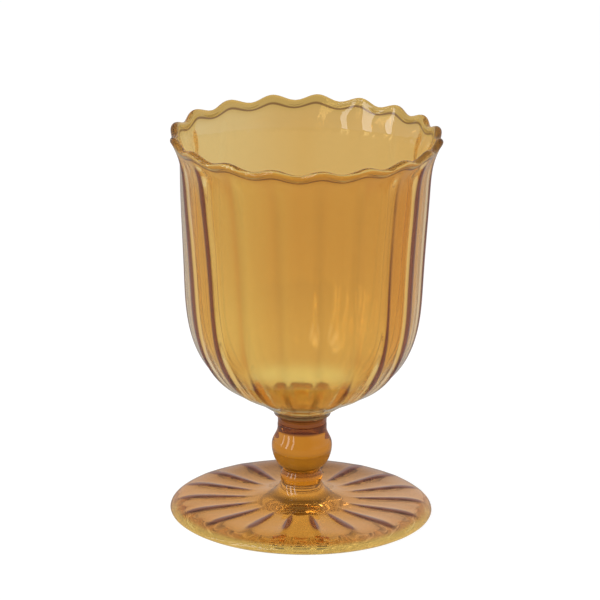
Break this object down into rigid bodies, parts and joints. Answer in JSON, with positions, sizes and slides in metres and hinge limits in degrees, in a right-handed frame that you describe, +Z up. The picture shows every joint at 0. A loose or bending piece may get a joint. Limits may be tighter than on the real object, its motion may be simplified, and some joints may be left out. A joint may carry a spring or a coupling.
{
  "type": "footed glass vase",
  "caption": "Amber glass goblet vase with a fluted, scalloped bowl on a ball stem and a ribbed disc foot.",
  "frame": {"origin": "middle of the foot's underside, in the plane of the flat ring that it stands on", "axes": "+Z up along the axis that the pieces share, -Y to the front, +X to the right seen from the front"},
  "size_m": [0.0894, 0.09, 0.1317],
  "materials": {
    "amber_glass_bowl": "fire-polished clear amber glass",
    "amber_glass_stem": "fire-polished clear amber glass",
    "amber_glass_foot": "fire-polished clear amber glass"
  },
  "bodies": {
    "root": {"foot": "amber_glass_foot", "foot_collar": "amber_glass_stem", "knop": "amber_glass_stem", "bowl_collar": "amber_glass_stem", "bowl": "amber_glass_bowl"}
  },
  "joints": []
}
